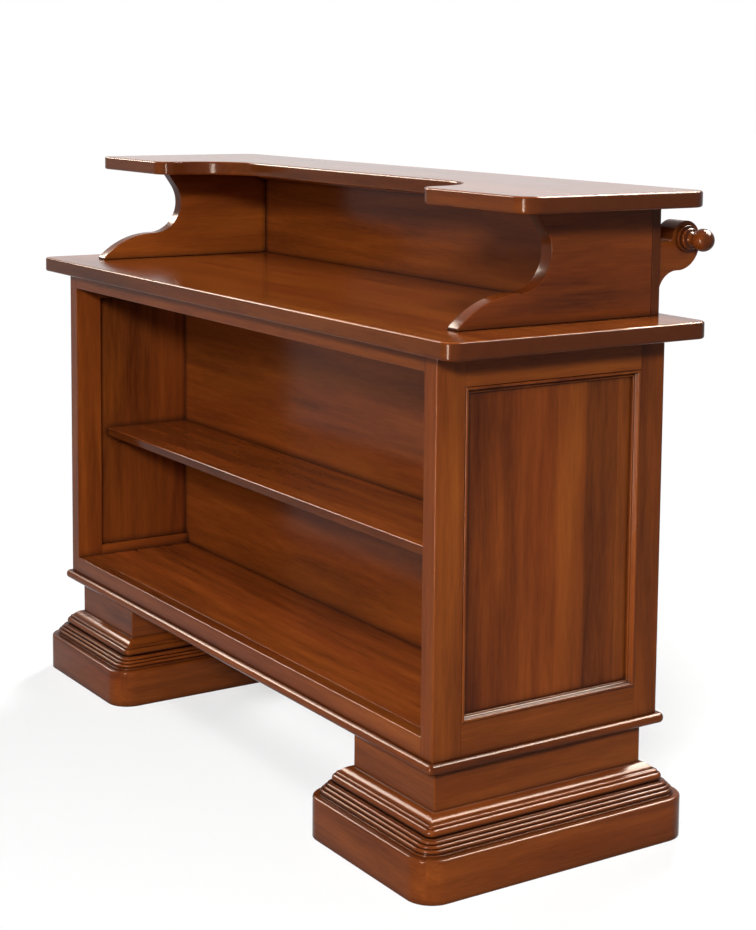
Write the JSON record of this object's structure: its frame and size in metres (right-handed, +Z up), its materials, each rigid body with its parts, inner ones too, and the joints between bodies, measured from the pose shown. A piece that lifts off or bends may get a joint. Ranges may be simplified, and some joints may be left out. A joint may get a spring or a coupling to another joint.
{
  "type": "bar counter with shelves",
  "caption": "Classic wooden bar counter with open shelves, moulded plinths, a raised bar top on scroll brackets and a turned hand rail.",
  "frame": {"origin": "on the floor, under the middle of the whole object's box", "axes": "+X along the counter, -Y to the barman's side with the open shelves, +Y to the customer's side with the hand rail, +Z up"},
  "size_m": [1.57, 0.622, 1.138],
  "materials": {
    "walnut": "satin lacquer",
    "walnut_veneer": "satin lacquer",
    "pine": "raw"
  },
  "bodies": {
    "counter": {"apron_rail": "walnut", "bar_batten": "walnut", "bar_top": "walnut", "base_board": "walnut", "counter_batten_left": "walnut", "counter_batten_right": "walnut", "counter_top": "walnut", "floor_bearers": "pine", "floor_board": "walnut", "frame_muntin_left": "walnut", "frame_muntin_right": "walnut", "frame_panel_left": "walnut_veneer", "frame_panel_middle": "walnut_veneer", "frame_panel_right": "walnut_veneer", "frame_rail_high": "walnut", "frame_rail_low": "walnut", "frame_stile_left": "walnut", "frame_stile_right": "walnut", "frame_strips": "walnut", "front_stile_left": "walnut", "front_stile_right": "walnut", "hand_rail": "walnut", "neck_left": "walnut", "neck_right": "walnut", "panel_strip_left": "walnut", "panel_strip_right": "walnut", "plinth_beads_left": "walnut", "plinth_beads_right": "walnut", "plinth_block_left": "walnut", "plinth_block_right": "walnut", "plinth_core_left": "walnut", "plinth_core_right": "walnut", "plinth_reeds_left": "walnut", "plinth_reeds_right": "walnut", "rail_bracket_left": "walnut", "rail_bracket_right": "walnut", "rail_knobs": "walnut", "rear_stile_left": "walnut", "rear_stile_right": "walnut", "riser": "walnut", "scroll_bracket_left": "walnut", "scroll_bracket_right": "walnut", "shelf_cleat_left": "walnut", "shelf_cleat_right": "walnut", "side_panel_left": "walnut_veneer", "side_panel_right": "walnut_veneer", "side_rail_high_left": "walnut", "side_rail_high_right": "walnut", "side_rail_low_left": "walnut", "side_rail_low_right": "walnut", "sill_rail": "walnut", "wall_board": "walnut_veneer"},
    "shelf": {"shelf": "walnut"}
  },
  "joints": [
    {"name": "shelf_lift", "type": "slide", "parent": "counter", "child": "shelf", "axis": [0, 0, 1], "range_m": [0, 0.29]}
  ]
}
